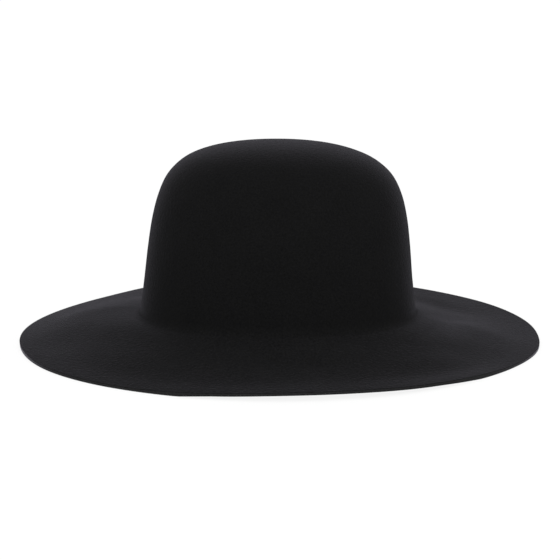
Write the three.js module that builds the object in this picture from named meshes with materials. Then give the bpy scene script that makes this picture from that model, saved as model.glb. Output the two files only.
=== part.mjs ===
// A round-crowned felt hat with a wide, gently drooping brim, resting on its brim.
// Crown and brim are blocked from one piece of felt, so the hat is one hollow shell with a raw cut edge.
// Millimetres and degrees. +Z is up, the front of the hat faces -Y, and the origin is on the resting
// surface under the middle of the brim. Azimuths run from +X (0) over the back (90) to the front (270).
import * as THREE from 'three';

// Driving sizes.
const FELT = 2;               // thickness of the felt
const HAT_WIDTH = 336;        // brim, side to side
const HAT_LENGTH = 371;       // brim, front to back
const OVAL_RATIO = 1.21;      // length of the crown's oval over its width
const TIP_RATIO = 1.12;       // the same at the top, where the block is rounder
const TIP_POWER = 4;          // with 4, nearly all of that change is in the upper third of the crown
const OVAL_POWER = 2.2;       // 2 is an ellipse, and a hat block is a little fuller than that
const CROWN_HEIGHT = 111.7;   // brim break to top, along the crown's own axis
const CROWN_LEAN = 3.8;       // the crown leans back by this angle when the hat lies on its brim
const BREAK_HEIGHT = 17.9;    // brim break above the resting surface, under the crown's middle
const BREAK_SETBACK = 4.5;    // reach of the rounding at the brim break, up the crown and out on the brim
const NEAR_BREAK = 0.1;       // station just off the break, which shows the way a surface leaves it
const REST_BAND = 0.8;        // felt hanging lower than this lies flat on the resting surface
const AROUND = 72;            // facets round the hat

// The crown from its break to its top: half its outside width, and how far the section sits to +X.
const CROWN_SECTIONS = [
  { height: 0, halfWidth: 89.4, shift: -0.8 },
  { height: 22, halfWidth: 86.7, shift: -0.6 },
  { height: 44, halfWidth: 84.6, shift: -0.1 },
  { height: 62, halfWidth: 82.2, shift: 0.3 },
  { height: 77, halfWidth: 78.5, shift: 0.5 },
  { height: 89, halfWidth: 72.8, shift: 0.2 },
  { height: 98, halfWidth: 63.7, shift: -0.6 },
  { height: 104, halfWidth: 52.3, shift: -1.6 },
  { height: 109, halfWidth: 33.4, shift: -2.1 },
];
const TOP = { height: CROWN_HEIGHT, halfWidth: 0, shift: -2.1 };

// The brim every 15 degrees, to half a millimetre. Lift is the underside of the edge above the resting
// surface, and reach is how far the edge was cut outside the plain oval. The others say how far the brim lies
// above the straight line from the break to the edge, at a quarter, a half and three quarters of the way out,
// so it hangs below that line where they are negative.
const BRIM_RAYS = [
  { azimuth: 0, lift: 0, reach: 0, inner: -4, middle: -3, outer: -2.5 },
  { azimuth: 15, lift: 0.5, reach: 0.5, inner: -5, middle: -4, outer: -2.5 },
  { azimuth: 30, lift: 1.5, reach: 0, inner: -4, middle: -5, outer: -2.5 },
  { azimuth: 45, lift: 2, reach: 0, inner: -2.5, middle: -4, outer: -2 },
  { azimuth: 60, lift: 3, reach: 0, inner: -1.5, middle: -2.5, outer: -1.5 },
  { azimuth: 75, lift: 4.5, reach: 0, inner: -1, middle: -1.5, outer: -1 },
  { azimuth: 90, lift: 6, reach: 0, inner: -0.5, middle: -1, outer: -0.5 },
  { azimuth: 105, lift: 5, reach: 0, inner: -0.5, middle: -0.5, outer: -0.5 },
  { azimuth: 120, lift: 3.5, reach: 0, inner: -0.5, middle: 0, outer: 0 },
  { azimuth: 135, lift: 1, reach: 0, inner: 1, middle: 0.5, outer: 0.5 },
  { azimuth: 150, lift: 0, reach: 0, inner: 2, middle: 2, outer: 1 },
  { azimuth: 165, lift: 0, reach: 0, inner: 3, middle: 3, outer: 1 },
  { azimuth: 180, lift: 0.5, reach: 0, inner: 1.5, middle: 1, outer: -0.5 },
  { azimuth: 195, lift: 0.5, reach: 0.5, inner: 0, middle: -1.5, outer: -2 },
  { azimuth: 210, lift: 0, reach: 1.5, inner: -2, middle: -2.5, outer: -2 },
  { azimuth: 225, lift: 0, reach: 1, inner: -2.5, middle: -3, outer: -2.5 },
  { azimuth: 240, lift: 0, reach: 0, inner: -2, middle: -3, outer: -2.5 },
  { azimuth: 255, lift: 1.5, reach: 0, inner: -2, middle: -3, outer: -2.5 },
  { azimuth: 270, lift: 3, reach: 0, inner: -1.5, middle: -3, outer: -2.5 },
  { azimuth: 285, lift: 3, reach: 0, inner: -1.5, middle: -3, outer: -2.5 },
  { azimuth: 300, lift: 2, reach: 0, inner: -2, middle: -3, outer: -3 },
  { azimuth: 315, lift: 1, reach: -0.5, inner: -2.5, middle: -3.5, outer: -3.5 },
  { azimuth: 330, lift: 0, reach: 0, inner: -2.5, middle: -4.5, outer: -3.5 },
  { azimuth: 345, lift: 0, reach: 1, inner: -3.5, middle: -4, outer: -3 },
];

// Rows of facets: stations on the brim from its edge (1) to its break (0), steps round the break,
// and stations up the crown, counted in sections.
const BRIM_STATIONS = [1, 0.97, 0.93, 0.88, 0.8, 0.68, 0.54, 0.38, 0.2];
const BREAK_STEPS = [0, 0.25, 0.5, 0.75, 1];
const CROWN_STATIONS = [0.6, 1.3, 2.1, 3, 3.6, 4.2, 4.7, 5.2, 5.7, 6.2, 6.6, 7, 7.4, 7.7, 8, 8.3, 8.6, 8.85];

const radians = THREE.MathUtils.degToRad;

// A smooth curve from one value to the next as t goes from 0 to 1, led by the values before and after them.
function glide([before, from, to, after], t) {
  const slopeFrom = (to - before) / 2;
  const slopeTo = (after - from) / 2;
  const bend = 2 * (from - to) + slopeFrom + slopeTo;
  return from + t * (slopeFrom + t * (3 * (to - from) - 2 * slopeFrom - slopeTo + t * bend));
}

// A column of BRIM_RAYS at any azimuth, by a smooth curve that closes on itself.
function onRays(column, azimuth) {
  const count = BRIM_RAYS.length;
  const at = THREE.MathUtils.euclideanModulo(azimuth, 360) / (360 / count);
  const k = Math.floor(at);
  return glide([k - 1, k, k + 1, k + 2].map((i) => BRIM_RAYS[(i + count) % count][column]), at - k);
}

// How far the brim lies above its straight line, from the break (0) to the edge (1). The first and the last
// of the heights lie outside it, and only lead the curve.
function aboveLine(azimuth, out) {
  const [inner, middle, outer] = ['inner', 'middle', 'outer'].map((column) => onRays(column, azimuth));
  const beyondBreak = -inner;
  const beyondEdge = -outer;
  const heights = [beyondBreak, 0, inner, middle, outer, 0, beyondEdge];
  const spans = heights.length - 3;
  const k = Math.min(Math.floor(out * spans), spans - 1);
  return glide(heights.slice(k, k + 4), out * spans - k);
}

// The plan of the block at a height: a fuller ellipse, as a direction that is scaled by half a width.
function ovalDirection(azimuth, height) {
  const fuller = (v) => Math.sign(v) * Math.abs(v) ** (2 / OVAL_POWER);
  const rounder = (OVAL_RATIO - TIP_RATIO) * (height / CROWN_HEIGHT) ** TIP_POWER;
  return new THREE.Vector2(
    fuller(Math.cos(radians(azimuth))),
    fuller(Math.sin(radians(azimuth))) * (OVAL_RATIO - rounder),
  );
}

// The crown's front outline from one break over the top to the other, so that the dome is smooth on top.
const side = CROWN_SECTIONS.map((s) => new THREE.Vector3(s.halfWidth, s.height, s.shift));
const farSide = side.map((p) => new THREE.Vector3(-p.x, p.y, p.z)).reverse();
const crownOutline = new THREE.CatmullRomCurve3([
  ...side,
  new THREE.Vector3(TOP.halfWidth, TOP.height, TOP.shift),
  ...farSide,
]);
const crownSpans = side.length + farSide.length;
const leanBack = new THREE.Matrix4()
  .makeTranslation(0, 0, BREAK_HEIGHT)
  .multiply(new THREE.Matrix4().makeRotationX(-radians(CROWN_LEAN)));

// A point on the outside of the crown, at a station counted in sections from the break.
function crownPoint(azimuth, station) {
  const { x: halfWidth, y: height, z: shift } = crownOutline.getPoint(station / crownSpans);
  const plan = ovalDirection(azimuth, height).multiplyScalar(halfWidth);
  return new THREE.Vector3(plan.x + shift, plan.y, height).applyMatrix4(leanBack);
}

// A point on the top of the brim, from the break (0) to the edge (1).
function brimPoint(azimuth, out) {
  const atBreak = crownPoint(azimuth, 0);
  const reach = onRays('reach', azimuth);
  const atEdge = new THREE.Vector3(
    (HAT_WIDTH / 2 + reach) * Math.cos(radians(azimuth)),
    (HAT_LENGTH / 2 + reach) * Math.sin(radians(azimuth)),
    onRays('lift', azimuth) + FELT,
  );
  const point = atBreak.lerp(atEdge, out);
  point.z += aboveLine(azimuth, out);
  return point;
}

// The rounding at the break: a curve that leaves the brim and joins the crown without a corner.
function breakPoint(azimuth, step) {
  const corner = crownPoint(azimuth, 0);
  const towards = (point) => corner.clone().add(point.sub(corner).setLength(BREAK_SETBACK));
  const curve = new THREE.QuadraticBezierCurve3(
    towards(brimPoint(azimuth, NEAR_BREAK)),
    corner,
    towards(crownPoint(azimuth, NEAR_BREAK)),
  );
  return curve.getPoint(step);
}

// One closed ring of the outside for each row, from the brim's edge up to the ring below the top.
function outsideRings() {
  const rows = [
    ...BRIM_STATIONS.map((out) => (azimuth) => brimPoint(azimuth, out)),
    ...BREAK_STEPS.map((step) => (azimuth) => breakPoint(azimuth, step)),
    ...CROWN_STATIONS.map((station) => (azimuth) => crownPoint(azimuth, station)),
  ];
  return rows.map((row) => Array.from({ length: AROUND }, (_, i) => row((360 / AROUND) * i)));
}

// Triangles of one skin of the shell, whose points are numbered from first, ring after ring, top last.
function skinTriangles(ringCount, first, facingOut) {
  const triangles = [];
  const add = (a, b, c) => {
    const [second, third] = facingOut ? [b, c] : [c, b];
    triangles.push(first + a, first + second, first + third);
  };
  for (let i = 0; i < AROUND; i += 1) {
    const next = (i + 1) % AROUND;
    for (let ring = 0; ring < ringCount - 1; ring += 1) {
      const low = ring * AROUND;
      const high = low + AROUND;
      add(low + i, low + next, high + next);
      add(low + i, high + next, high + i);
    }
    const last = (ringCount - 1) * AROUND;
    add(last + i, last + next, ringCount * AROUND);
  }
  return triangles;
}

// The felt: the outside skin, the inside skin one felt's thickness within it, and the cut edge between them.
function feltShell() {
  const rings = outsideRings();
  const outside = [...rings.flat(), crownPoint(0, side.length)];
  const skin = new THREE.BufferGeometry().setFromPoints(outside);
  skin.setIndex(skinTriangles(rings.length, 0, true));
  skin.computeVertexNormals();
  const normals = skin.getAttribute('normal');
  const inside = outside.map((point, i) => {
    const within = new THREE.Vector3().fromBufferAttribute(normals, i).multiplyScalar(-FELT).add(point);
    if (within.z < REST_BAND) within.z = 0;
    return within;
  });

  const cutEdge = [];
  for (let i = 0; i < AROUND; i += 1) {
    const next = (i + 1) % AROUND;
    cutEdge.push(i, outside.length + i, outside.length + next);
    cutEdge.push(i, outside.length + next, next);
  }
  const shell = new THREE.BufferGeometry().setFromPoints([...outside, ...inside]);
  shell.setIndex([
    ...skinTriangles(rings.length, 0, true),
    ...skinTriangles(rings.length, outside.length, false),
    ...cutEdge,
  ]);
  shell.computeVertexNormals();
  return shell;
}

const blackFelt = new THREE.MeshStandardMaterial({ color: 0x17171a, roughness: 0.95, metalness: 0 });

const feltBody = new THREE.Mesh(feltShell(), blackFelt);
feltBody.name = 'felt_body';

const hat = new THREE.Group();
hat.add(feltBody);

export default hat;
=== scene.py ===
# %% [markdown]
# A wide-brim felt hat with a tall round crown. The real hat is one piece of black wool felt about 2 mm
# thick: a hatter steams a round hood, pulls it down over an oval block, flanges the brim flat and cuts its
# edge raw. Nothing is sewn on outside, so its looks rest on three things: the smooth sweep of the felt, the
# clean cut edge, and the short dense nap that catches light where it is seen at a low angle.

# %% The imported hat
import math

import bmesh
import bpy
import numpy as np
from mathutils import Matrix, Vector


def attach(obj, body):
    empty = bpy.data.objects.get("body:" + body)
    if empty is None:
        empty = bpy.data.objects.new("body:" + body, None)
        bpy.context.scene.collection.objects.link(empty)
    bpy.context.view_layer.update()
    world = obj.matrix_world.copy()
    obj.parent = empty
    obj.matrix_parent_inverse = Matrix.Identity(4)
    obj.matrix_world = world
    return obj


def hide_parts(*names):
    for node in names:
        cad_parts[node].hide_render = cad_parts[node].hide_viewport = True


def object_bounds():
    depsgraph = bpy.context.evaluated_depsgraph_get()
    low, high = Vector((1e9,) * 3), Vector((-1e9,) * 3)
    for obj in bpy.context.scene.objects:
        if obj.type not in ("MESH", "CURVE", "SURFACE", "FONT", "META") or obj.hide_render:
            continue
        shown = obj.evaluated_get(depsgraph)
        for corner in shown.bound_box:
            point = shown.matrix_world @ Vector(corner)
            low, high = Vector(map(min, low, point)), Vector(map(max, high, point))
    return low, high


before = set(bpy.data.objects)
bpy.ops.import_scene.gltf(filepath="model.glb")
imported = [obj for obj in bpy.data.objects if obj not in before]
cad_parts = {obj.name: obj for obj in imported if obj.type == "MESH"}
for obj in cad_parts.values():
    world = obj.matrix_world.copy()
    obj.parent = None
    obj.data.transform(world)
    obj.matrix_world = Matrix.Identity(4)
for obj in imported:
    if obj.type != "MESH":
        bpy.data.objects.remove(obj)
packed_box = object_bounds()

MM = 0.001                    # sizes are thought out in millimetres, and the scene is in metres
scene = bpy.context.scene
width, length, height = (packed_box[1] - packed_box[0]) / MM
print(f"packed hat: {width:.0f} x {length:.0f} x {height:.0f} mm")

# %% [markdown]
# The camera looks at the front of the hat from a little above the brim. The brim's front edge shows below
# the break and its back edge above it, and how far apart they lie gives the angle of about ten degrees.
# A long lens from two metres away keeps the flat look of a product photograph.

# %% Camera
CAMERA_DISTANCE = 2200 * MM
CAMERA_ELEVATION = math.radians(10.6)
CAMERA_ROLL = math.radians(-0.1)
CAMERA_AIM = Vector((0.48, 0, 38.8)) * MM
FRAME_WIDTH = 362.3 * MM      # what the frame spans at the aim point
SENSOR_WIDTH = 36             # in millimetres even here, as the lens is
SEEN_AS_FAR_AS = 50           # metres, past the far edge of the table

camera = bpy.data.objects.new("camera", bpy.data.cameras.new("camera"))
scene.collection.objects.link(camera)
camera.data.sensor_width = SENSOR_WIDTH
camera.data.lens = SENSOR_WIDTH * CAMERA_DISTANCE / FRAME_WIDTH
camera.data.clip_end = SEEN_AS_FAR_AS
back = Vector((0, -math.cos(CAMERA_ELEVATION), math.sin(CAMERA_ELEVATION)))
camera.location = CAMERA_AIM + back * CAMERA_DISTANCE
pitch = Matrix.Rotation(math.pi / 2 - CAMERA_ELEVATION, 4, "X")
camera.rotation_euler = (pitch @ Matrix.Rotation(CAMERA_ROLL, 4, "Z")).to_euler()
scene.camera = camera
print(f"lens {camera.data.lens:.0f} mm")

# %% [markdown]
# A black hat on white is a hard subject: too much light turns the felt grey, and too little loses its shape.
# Here it stands on a light table, whose face glows, so the shadow under the brim stays pale. A plain white
# floor would need no glow, but it goes grey under a wide brim.

# %% Light table
TABLE_SIZE = 30               # metres
TABLE_GAP = 0.1 * MM          # keeps the table's face off the felt that rests on it
TABLE_WHITE = 0.12            # share of the light that the table's face gives back
TABLE_GLOW = 0.88             # light that comes up through it


def white_table():
    """The face of the light table: matte white that also glows."""
    material = bpy.data.materials.new("white light table")
    material.use_nodes = True
    shader = material.node_tree.nodes["Principled BSDF"]
    shader.inputs["Base Color"].default_value = (TABLE_WHITE, TABLE_WHITE, TABLE_WHITE, 1)
    shader.inputs["Roughness"].default_value = 1
    shader.inputs["Specular IOR Level"].default_value = 0
    shader.inputs["Emission Color"].default_value = (1, 1, 1, 1)
    shader.inputs["Emission Strength"].default_value = TABLE_GLOW
    return material


table_shape = bmesh.new()
bmesh.ops.create_grid(table_shape, x_segments=1, y_segments=1, size=TABLE_SIZE / 2)
bmesh.ops.translate(table_shape, verts=table_shape.verts, vec=(0, 0, -TABLE_GAP))
table_mesh = bpy.data.meshes.new("light table")
table_shape.to_mesh(table_mesh)
table_shape.free()
table = bpy.data.objects.new("light_table", table_mesh)
scene.collection.objects.link(table)
table_mesh.materials.append(white_table())
print("light table:", TABLE_SIZE, "m across, glow", TABLE_GLOW)

# %% [markdown]
# Round the hat stands a light tent, so soft light comes from every side. Lamps behind cloth could make it,
# but a world shader is simpler: its strength grows with the square of how far a direction points to a wall.
# The back wall is the brightest, because light that skims over the felt towards the camera shows its nap
# and the waves of the brim.

# %% Light tent
TENT_BRIGHTNESS = 0.96
BACK_WALL = 1.2               # how much brighter the tent is straight behind the hat
RIGHT_WALL = 0.3              # and straight to the right of it
WALL_FALLOFF = 2              # the higher, the narrower the bright part of a wall

tent = bpy.data.worlds.new("light tent")
tent.use_nodes = True
nodes, links = tent.node_tree.nodes, tent.node_tree.links
direction = nodes.new("ShaderNodeTexCoord")
axes = nodes.new("ShaderNodeSeparateXYZ")
links.new(direction.outputs["Generated"], axes.inputs["Vector"])
strength = nodes.new("ShaderNodeValue").outputs["Value"]
strength.default_value = TENT_BRIGHTNESS
for axis, wall in (("X", RIGHT_WALL), ("Y", BACK_WALL)):
    facing = nodes.new("ShaderNodeMath")
    facing.operation = "MAXIMUM"
    facing.inputs[1].default_value = 0
    falloff = nodes.new("ShaderNodeMath")
    falloff.operation = "POWER"
    falloff.inputs[1].default_value = WALL_FALLOFF
    added = nodes.new("ShaderNodeMath")
    added.operation = "MULTIPLY_ADD"
    added.inputs[1].default_value = wall
    links.new(axes.outputs[axis], facing.inputs[0])
    links.new(facing.outputs["Value"], falloff.inputs[0])
    links.new(falloff.outputs["Value"], added.inputs[0])
    links.new(strength, added.inputs[2])
    strength = added.outputs["Value"]
links.new(strength, nodes["Background"].inputs["Strength"])
nodes["Background"].inputs["Color"].default_value = (1, 1, 1, 1)
scene.world = tent
scene.view_settings.view_transform = "Standard"
print("tent brightness", TENT_BRIGHTNESS, "in front,", TENT_BRIGHTNESS + BACK_WALL, "behind")

# %% [markdown]
# The block gives the crown its shape. These rows are read upwards from the break, the line where the crown
# turns into the brim: half the width there, and how far that section leans to one side. The oval is 1.21
# times as long as it is wide, and a little fuller than an ellipse. Towards its tip a block gets rounder, so
# the ratio falls to 1.12 there, nearly all of it in the upper third. The crown also leans back a little, as
# it does on the photographed hat.

# %% Sizes of the blocked crown
FELT = 2                      # thickness
OVAL_RATIO = 1.21
TIP_RATIO = 1.12
TIP_POWER = 4                 # with 4, the ratio changes late on the way up
OVAL_POWER = 2.2              # 2 would be an ellipse
CROWN_LEAN = 3.8              # degrees, towards the back
BREAK_HEIGHT = 17.9           # above the table
CROWN_SECTIONS = [  # height, half width, shift to the right
    (0, 89.4, -0.8),
    (22, 86.7, -0.6),
    (44, 84.6, -0.1),
    (62, 82.2, 0.3),
    (77, 78.5, 0.5),
    (89, 72.8, 0.2),
    (98, 63.7, -0.6),
    (104, 52.3, -1.6),
    (109, 33.4, -2.1),
    (111.7, 0, -2.1),
]
TOP = len(CROWN_SECTIONS) - 1
TIP_HEIGHT = CROWN_SECTIONS[TOP][0]
print("block:", TIP_HEIGHT, "mm high in", len(CROWN_SECTIONS), "rows")

# %% [markdown]
# A smooth curve through the rows is the crown's front outline. It runs up one side, over the top and down
# the other, so the crown is closed and level on top. One more row past each foot tells the curve how to
# leave the break. A curve object could be traced too, but a formula gives the felt at any point.

# %% Surface of the crown
def smooth_curve(knots, values, at):
    """A point of the smooth curve that passes through each value at its knot."""
    i = int(np.clip(np.searchsorted(knots, at, side="right") - 1, 1, len(knots) - 3))
    gap = np.diff(knots[i - 1 : i + 3])
    step = np.diff(values[i - 1 : i + 3], axis=0)
    slope = (step.T / gap).T
    leave = (slope[0] * gap[1] + slope[1] * gap[0]) / (gap[0] + gap[1])
    arrive = (slope[1] * gap[2] + slope[2] * gap[1]) / (gap[1] + gap[2])
    t = (at - knots[i]) / gap[1]
    curve = values[i] * (2 * t**3 - 3 * t**2 + 1) + values[i + 1] * (3 * t**2 - 2 * t**3)
    return curve + gap[1] * (leave * (t**3 - 2 * t**2 + t) + arrive * (t**3 - t**2))


rising = np.array(CROWN_SECTIONS, float)
falling = rising[-2::-1] * (1, -1, 1)
arch = np.vstack([rising, falling])
before_break = 2 * arch[0] - arch[1]
after_break = 2 * arch[-1] - arch[-2]
arch = np.vstack([before_break, arch, after_break])
arch_knots = np.concatenate([[0], np.cumsum(np.sqrt(np.linalg.norm(np.diff(arch, axis=0), axis=1)))])


def crown_point(azimuth, station):
    """A point outside the crown, in millimetres; station counts table rows up from the break."""
    row = min(int(station), TOP - 1) + 1      # the arch has one row before the table's first
    at = arch_knots[row] + (station - (row - 1)) * (arch_knots[row + 1] - arch_knots[row])
    up, half_width, shift = smooth_curve(arch_knots, arch, at)
    cos, sin = math.cos(azimuth), math.sin(azimuth)
    rounder = (OVAL_RATIO - TIP_RATIO) * (up / TIP_HEIGHT) ** TIP_POWER
    x = math.copysign(abs(cos) ** (2 / OVAL_POWER), cos) * half_width + shift
    y = math.copysign(abs(sin) ** (2 / OVAL_POWER), sin) * half_width * (OVAL_RATIO - rounder)
    lean = Matrix.Rotation(math.radians(-CROWN_LEAN), 3, "X")
    return lean @ Vector((x, y, up)) + Vector((0, 0, BREAK_HEIGHT))


print("crown top at", [round(v, 1) for v in crown_point(0, TOP)])

# %% [markdown]
# The brim falls from the break to the surface that the hat rests on. It is cut to an oval, and its edge
# waves up and down by a few millimetres, because soft felt never stays quite flat. The table goes round it
# every 15 degrees, to half a millimetre. It says how high the underside of the edge is, how far the edge was
# cut outside the plain oval, and how far the brim lies over the straight line from the break to the edge. It
# mostly hangs below that line, then turns up a little. The exception is a soft bulge behind on the left.

# %% Sizes of the flanged brim
HAT_WIDTH = 336
HAT_LENGTH = 371
BRIM_RAYS = [  # azimuth, lift and reach of the edge, height over the line at 1/4, 1/2 and 3/4 of the way out
    (0, 0, 0, -4, -3, -2.5),
    (15, 0.5, 0.5, -5, -4, -2.5),
    (30, 1.5, 0, -4, -5, -2.5),
    (45, 2, 0, -2.5, -4, -2),
    (60, 3, 0, -1.5, -2.5, -1.5),
    (75, 4.5, 0, -1, -1.5, -1),
    (90, 6, 0, -0.5, -1, -0.5),
    (105, 5, 0, -0.5, -0.5, -0.5),
    (120, 3.5, 0, -0.5, 0, 0),
    (135, 1, 0, 1, 0.5, 0.5),
    (150, 0, 0, 2, 2, 1),
    (165, 0, 0, 3, 3, 1),
    (180, 0.5, 0, 1.5, 1, -0.5),
    (195, 0.5, 0.5, 0, -1.5, -2),
    (210, 0, 1.5, -2, -2.5, -2),
    (225, 0, 1, -2.5, -3, -2.5),
    (240, 0, 0, -2, -3, -2.5),
    (255, 1.5, 0, -2, -3, -2.5),
    (270, 3, 0, -1.5, -3, -2.5),
    (285, 3, 0, -1.5, -3, -2.5),
    (300, 2, 0, -2, -3, -3),
    (315, 1, -0.5, -2.5, -3.5, -3.5),
    (330, 0, 0, -2.5, -4.5, -3.5),
    (345, 0, 1, -3.5, -4, -3),
]
RAYS_OVERLAP = 2              # rows repeated past each end, so that the curve closes

rays = np.array(BRIM_RAYS, float)
full_turn = np.array([360, 0, 0, 0, 0, 0])
rays = np.vstack([rays[-RAYS_OVERLAP:] - full_turn, rays, rays[:RAYS_OVERLAP] + full_turn])
print("brim:", HAT_WIDTH, "x", HAT_LENGTH, "mm,", len(BRIM_RAYS), "rows round it")

# %% [markdown]
# Two low creases run out from the crown's sides, where handling has bent the felt. Each is a rounded crest
# under a millimetre high, steeper behind than in front, so light skims over its back. A bump in the finish
# would be quicker, but then the mesh itself wouldn't have them.

# %% Creases
CREASES = [  # left end, right end, height of the crest, how far it spreads in front of it and behind it
    ((-132, 31), (-94, 19), 0.8, 60, 14),
    ((88, -22), (118, 4), 0.8, 40, 12),
]
CREASE_FADE = 15              # how softly a crease runs out past its ends


def crease_height(x, y):
    """How far the creases raise the brim at a place, in millimetres."""
    raised = 0
    for left, right, crest, in_front, behind in CREASES:
        along = Vector(right) - Vector(left)
        place = Vector((x, y)) - Vector(left)
        run = place.dot(along.normalized())
        across = along.normalized().cross(place)
        beyond_end = max(0, -run, run - along.length)
        spread = behind if across > 0 else in_front
        raised += crest * math.exp(-((across / spread) ** 2) - (beyond_end / CREASE_FADE) ** 2)
    return raised


print("crests:", [round(crease_height(*left_end), 1) for left_end, *_ in CREASES], "mm at their left ends")

# %% [markdown]
# A point of the brim starts on the straight line from the break to the cut edge. The table's heights lift it
# off that line along a smooth curve, and the creases come on top, fading in just off the break. A cloth
# simulation could sag a brim, but stiff felt keeps the waves that its flange gave it.

# %% Surface of the brim
FRONT = math.radians(270)     # azimuths run from the picture's right, anticlockwise as seen from above
BREAK_HOLDS = 20              # the higher, the nearer to the break a crease starts
QUARTERS = np.arange(-1, 6) / 4       # of the way out, with one more past the break and one past the edge


def brim_point(azimuth, out):
    """A point on top of the brim, in millimetres, from the break (0) to the cut edge (1)."""
    _, lift, reach, inner, middle, outer = smooth_curve(rays[:, 0], rays, math.degrees(azimuth) % 360)
    half_width, half_length = HAT_WIDTH / 2 + reach, HAT_LENGTH / 2 + reach
    edge = Vector((half_width * math.cos(azimuth), half_length * math.sin(azimuth), lift + FELT))
    point = crown_point(azimuth, 0).lerp(edge, out)
    over_line = np.array([-inner, 0, inner, middle, outer, 0, -outer])
    point.z += smooth_curve(QUARTERS, over_line, out)
    point.z += crease_height(point.x, point.y) * (1 - (1 - out) ** BREAK_HOLDS)
    return point


print("edge in front at", [round(v, 1) for v in brim_point(FRONT, 1)])

# %% [markdown]
# The break isn't a crease: the felt turns over a few millimetres there, and the hat's front would show any
# kink as a bright line. So the last bit of the brim and the first bit of the crown follow one curve that
# leaves the brim and joins the crown without a corner.

# %% Rounding at the break
BREAK_SETBACK = 4.5           # how far the rounding reaches up the crown and out on the brim
NEAR_BREAK = 0.1              # station just off the break, which shows the way a surface leaves it


def break_point(azimuth, step):
    """A point of the rounding, from its end on the brim (0) to its end on the crown (1)."""
    corner = crown_point(azimuth, 0)
    on_brim = corner + (brim_point(azimuth, NEAR_BREAK) - corner).normalized() * BREAK_SETBACK
    on_crown = corner + (crown_point(azimuth, NEAR_BREAK) - corner).normalized() * BREAK_SETBACK
    return on_brim.lerp(corner, step).lerp(corner.lerp(on_crown, step), step)


print("break in front at", [round(v, 1) for v in break_point(FRONT, 0.5)])

# %% [markdown]
# The felt is made as the hatter makes it. A profile line is spun into a plain round hood, which keeps a
# note on each point of how far up the profile it lies. Spinning gives an even net of four-sided faces that
# flows round the hat, which bends smoothly and takes a bevel well. A grid wrapped round would do too, but it
# would leave a seam to close.

# %% The round hood
AROUND = 256
HOOD_RADIUS = 0.18            # metres
MERGE_DISTANCE = 0.001 * MM
BRIM_ROWS, BREAK_ROWS, CROWN_ROWS = 30, 9, 60
BRIM_STARTS, CROWN_STARTS = 0.1, 0.4  # the first stations clear of the rounding at the break
BRIM_STATIONS = [1, 0.99, *np.linspace(0.97, BRIM_STARTS, BRIM_ROWS)]     # close together at the cut edge
BREAK_STEPS = np.linspace(0, 1, BREAK_ROWS)
CROWN_STATIONS = np.linspace(CROWN_STARTS, TOP, CROWN_ROWS)
rows = [(brim_point, out) for out in BRIM_STATIONS]
rows += [(break_point, step) for step in BREAK_STEPS]
rows += [(crown_point, station) for station in CROWN_STATIONS]

hood = bmesh.new()
row_number = hood.verts.layers.int.new("row")
line = []
for i in range(len(rows)):
    rise = i / (len(rows) - 1)
    vert = hood.verts.new((HOOD_RADIUS * (1 - rise), 0, HOOD_RADIUS * rise))
    vert[row_number] = i
    line.append(vert)
profile = [hood.edges.new(pair) for pair in zip(line, line[1:])]
bmesh.ops.spin(
    hood,
    geom=[*line, *profile],
    axis=(0, 0, 1),
    cent=(0, 0, 0),
    angle=2 * math.pi,
    steps=AROUND,
    use_merge=True,
)
bmesh.ops.remove_doubles(hood, verts=hood.verts, dist=MERGE_DISTANCE)
bmesh.ops.recalc_face_normals(hood, faces=hood.faces)
print("hood:", len(hood.faces), "faces in", len(rows), "rows")

# %% [markdown]
# On the block and under the flange the hood takes its real shape. Here each point keeps its share of the
# way round, and its row says which surface holds it and how far along. Sculpting could bend the hood as
# well, but it wouldn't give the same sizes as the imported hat.

# %% Blocking and flanging
for vert in hood.verts:
    azimuth = math.atan2(vert.co.y, vert.co.x)
    surface, at = rows[vert[row_number]]
    vert.co = surface(azimuth, at) * MM
if sum(f.normal.z for f in hood.faces) < 0:
    bmesh.ops.reverse_faces(hood, faces=hood.faces)
print("blocked:", [round(max(v.co[i] for v in hood.verts) / MM, 1) for i in range(3)])

# %% [markdown]
# Now the sheet becomes felt with a thickness. A copy of it is set one felt's thickness inside, so the outside
# stays where it is. The solidify operator would do that in one call, but here the copy's points are at hand,
# so the underside can be laid flat where the hat rests.

# %% Thickness of the felt
REST_BAND = 0.8               # felt hanging lower than this lies flat on the table
SETTLING_BAND = 0.8           # and over the next bit of height it comes down to meet that

copied = bmesh.ops.duplicate(hood, geom=[*hood.verts, *hood.edges, *hood.faces])["geom"]
hood.normal_update()
inner_faces = [item for item in copied if isinstance(item, bmesh.types.BMFace)]
for vert in [item for item in copied if isinstance(item, bmesh.types.BMVert)]:
    vert.co -= vert.normal * FELT * MM
    hang = vert.co.z / MM - REST_BAND
    if hang < SETTLING_BAND:
        vert.co.z = max(0, hang * (REST_BAND + SETTLING_BAND) / SETTLING_BAND) * MM
bmesh.ops.reverse_faces(hood, faces=inner_faces)
print("inside of the felt:", len(inner_faces), "faces")

# %% [markdown]
# The same felt gets three finishes, and each face is given its own here. The crown is pressed and brushed
# smooth on its block. The brim's greys lie further apart, for a coarser grain, and its sheen is stronger,
# which is partly painted light: it stands in for the stronger light from above on the up-facing brim. The
# cut edge is painted lighter, with a strong sheen, as a painted highlight of the bright surroundings glaring
# over its thin face. That ring closes the two open edges, with a hair of rounding on its corners. One finish
# with a mask would also do, but faces that belong to a finish need no picture or attribute.

# %% Brim, crown and cut edge
CROWN_FINISH, BRIM_FELT_AND_PAINTED_LIGHT, CUT_EDGE_AND_PAINTED_HIGHLIGHT = range(3)
CUT_ROUNDING = 0.3 * MM
CUT_SEGMENTS = 3

brim_rows = len(BRIM_STATIONS) + len(BREAK_STEPS) // 2
# brim faces take the brim felt, whose stronger sheen is partly painted light from above
for face in hood.faces:
    on_brim = all(vert[row_number] <= brim_rows for vert in face.verts)
    face.material_index = BRIM_FELT_AND_PAINTED_LIGHT if on_brim else CROWN_FINISH

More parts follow.
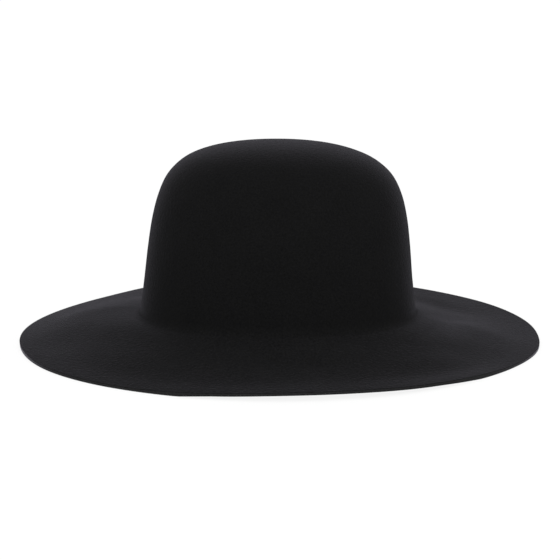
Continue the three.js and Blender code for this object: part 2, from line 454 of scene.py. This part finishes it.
cut = bmesh.ops.bridge_loops(hood, edges=[e for e in hood.edges if e.is_boundary])
# the cut faces take the lighter felt, a painted highlight
for face in cut["faces"]:
    face.material_index = CUT_EDGE_AND_PAINTED_HIGHLIGHT
corners = [e for e in hood.edges if {f.material_index for f in e.link_faces} == {BRIM_FELT_AND_PAINTED_LIGHT, CUT_EDGE_AND_PAINTED_HIGHLIGHT}]
bmesh.ops.bevel(
    hood,
    geom=corners,
    offset=CUT_ROUNDING,
    affect="EDGES",
    segments=CUT_SEGMENTS,
    profile=0.5,
    material=-1,
)
open_edges = sum(not e.is_manifold for e in hood.edges)
print("cut edge:", len(cut["faces"]), "faces, open edges left:", open_edges)

# %% [markdown]
# The finished net becomes one object that sits at the origin, with its place in its mesh, so a pattern on
# object coordinates stays put on the felt. Smooth shading hides its small flat faces. Flat shading with more
# faces would look the same and cost more.

# %% The felt piece
felt_mesh = bpy.data.meshes.new("felt")
hood.to_mesh(felt_mesh)
hood.free()
for face in felt_mesh.polygons:
    face.use_smooth = True
felt = bpy.data.objects.new("felt", felt_mesh)
scene.collection.objects.link(felt)
print("felt:", len(felt_mesh.polygons), "faces")

# %% [markdown]
# Black wool felt is nearly black seen straight on. Its short fibres stand up a little, and their sides catch
# light that skims over the felt, which is what the shader's sheen is for. Noise of three sizes does the rest:
# faint clouds of two centimetres, where dye and brushing are uneven, tufts of two millimetres, and tangled
# fibres of about one. Tufts and fibres also raise the surface by a tenth of a millimetre or so. Larger or
# higher tufts would look like ripples, because the brim is seen at such a low angle.

# %% Nap and dye
CLOUDS, TUFTS, FIBRES = (45, 3), (480, 4), (900, 3)       # how many lie along one metre, and their detail
FIBRE_HEIGHT = 0.5            # how high fibres stand beside tufts
CLOUD_SHARE = 0.2             # how much the clouds count in the colour, beside the fibres
DYE_RANGE = (0.35, 0.85)      # noise between these values runs from the dark grey to the light one
COOL = 1.02                   # blue over red in the greys
FELT_ROUGHNESS = 0.95
SHEEN_ROUGHNESS = 0.28        # how widely the fibres scatter the light that skims over them
SHEEN_TINT = (0.9, 0.87, 1, 1)
for word, (cells, _) in (("clouds", CLOUDS), ("tufts", TUFTS), ("fibres", FIBRES)):
    print(f"{word} of {1 / cells / MM:.1f} mm")

# %% [markdown]
# A finish is a small net of nodes round one shader. Clouds and fibres choose between two greys for the dye,
# and two bumps, one on top of the other, raise the nap. A picture of felt could do it too, but it would have
# to be laid out on the hat, and it would show where it repeats.

# %% Felt with a finish
def felt_finish(name, dark, light, sheen, nap):
    """Felt between two greys, with a weight of sheen and a height of nap in millimetres."""
    material = bpy.data.materials.new(name)
    material.use_nodes = True
    nodes, links = material.node_tree.nodes, material.node_tree.links
    shader = nodes["Principled BSDF"]
    shader.inputs["Roughness"].default_value = FELT_ROUGHNESS
    shader.inputs["Specular IOR Level"].default_value = 0
    shader.inputs["Sheen Weight"].default_value = sheen
    shader.inputs["Sheen Roughness"].default_value = SHEEN_ROUGHNESS
    shader.inputs["Sheen Tint"].default_value = SHEEN_TINT

    place = nodes.new("ShaderNodeTexCoord")
    noises = []
    for cells, detail in (CLOUDS, TUFTS, FIBRES):
        noise = nodes.new("ShaderNodeTexNoise")
        noise.inputs["Scale"].default_value = cells
        noise.inputs["Detail"].default_value = detail
        links.new(place.outputs["Object"], noise.inputs["Vector"])
        noises.append(noise.outputs["Fac"])
    clouds, tufts, fibres = noises

    dye = nodes.new("ShaderNodeMath")
    dye.operation = "MULTIPLY_ADD"
    dye.inputs[1].default_value = CLOUD_SHARE
    links.new(clouds, dye.inputs[0])
    links.new(fibres, dye.inputs[2])
    colour = nodes.new("ShaderNodeValToRGB")
    for stop, position, grey in zip(colour.color_ramp.elements, DYE_RANGE, (dark, light)):
        stop.position = position
        stop.color = (grey, grey, grey * COOL, 1)
    links.new(dye.outputs["Value"], colour.inputs["Fac"])
    links.new(colour.outputs["Color"], shader.inputs["Base Color"])

    tufted = nodes.new("ShaderNodeBump")
    tufted.inputs["Distance"].default_value = nap * MM
    links.new(tufts, tufted.inputs["Height"])
    fibrous = nodes.new("ShaderNodeBump")
    fibrous.inputs["Distance"].default_value = nap * FIBRE_HEIGHT * MM
    links.new(fibres, fibrous.inputs["Height"])
    links.new(tufted.outputs["Normal"], fibrous.inputs["Normal"])
    links.new(fibrous.outputs["Normal"], shader.inputs["Normal"])
    return material


FINISHES = {
    CROWN_FINISH: felt_finish("black felt, brushed smooth", dark=0.0066, light=0.0107, sheen=0.095, nap=0.36),
    # painted light: the brim's stronger sheen stands in for the stronger light from above on the up-facing
    # brim
    BRIM_FELT_AND_PAINTED_LIGHT: felt_finish("black felt, coarse grain, sheen as painted top light", dark=0.005, light=0.0126, sheen=0.134, nap=0.36),
    # painted highlight: the lighter greys and strong sheen stand for the bright surroundings glaring over the
    # thin cut edge
    CUT_EDGE_AND_PAINTED_HIGHLIGHT: felt_finish("black felt, cut edge, painted highlight", dark=0.014, light=0.026, sheen=0.35, nap=0.3),
}
for slot in sorted(FINISHES):
    felt_mesh.materials.append(FINISHES[slot])
    print(slot, FINISHES[slot].name)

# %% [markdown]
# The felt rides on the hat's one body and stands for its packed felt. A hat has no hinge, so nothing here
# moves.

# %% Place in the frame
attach(felt, "root")
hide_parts("felt_body")
